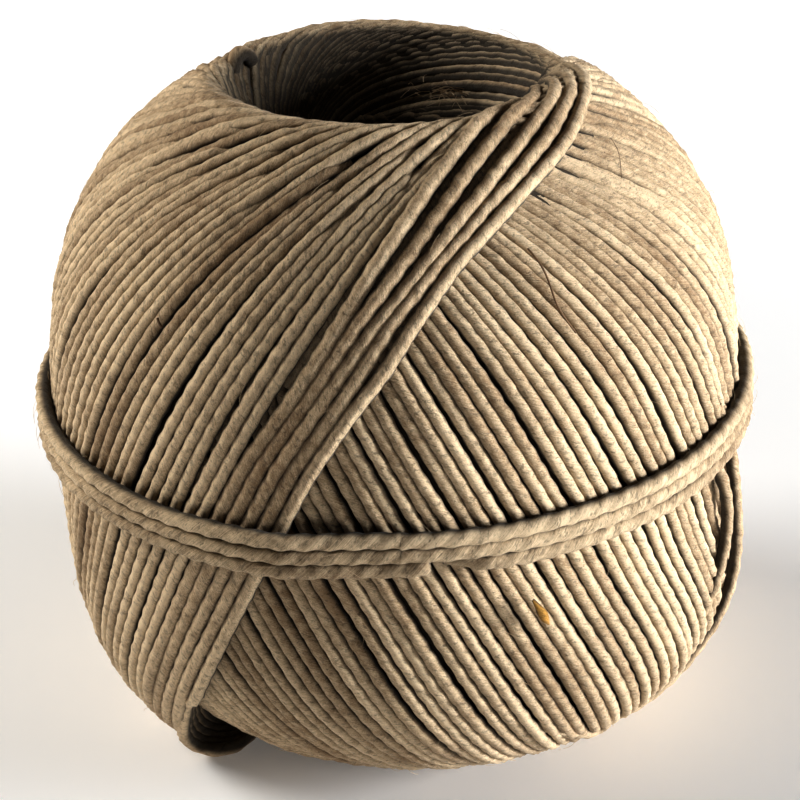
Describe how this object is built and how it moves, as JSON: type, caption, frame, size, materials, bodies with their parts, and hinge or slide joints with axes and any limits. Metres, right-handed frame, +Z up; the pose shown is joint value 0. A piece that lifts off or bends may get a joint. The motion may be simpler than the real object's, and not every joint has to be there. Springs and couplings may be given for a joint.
{
  "type": "ball of garden twine",
  "caption": "Ball of natural garden twine, wound on the slant round an open core, with a band of the same twine round its waist.",
  "frame": {"origin": "middle of the base of the object's box, on the floor under the core", "axes": "+Z up along the core, -Y out of the front that the picture shows, +X to the right of that front"},
  "size_m": [0.1148, 0.113, 0.1091],
  "materials": {
    "natural_twine": "matt hairy bast fibre, light straw to tan",
    "band_twine": "matt hairy bast fibre, felted where the turns are pressed together"
  },
  "bodies": {
    "root": {"twine_ball": "natural_twine", "waist_band": "band_twine"}
  },
  "joints": []
}
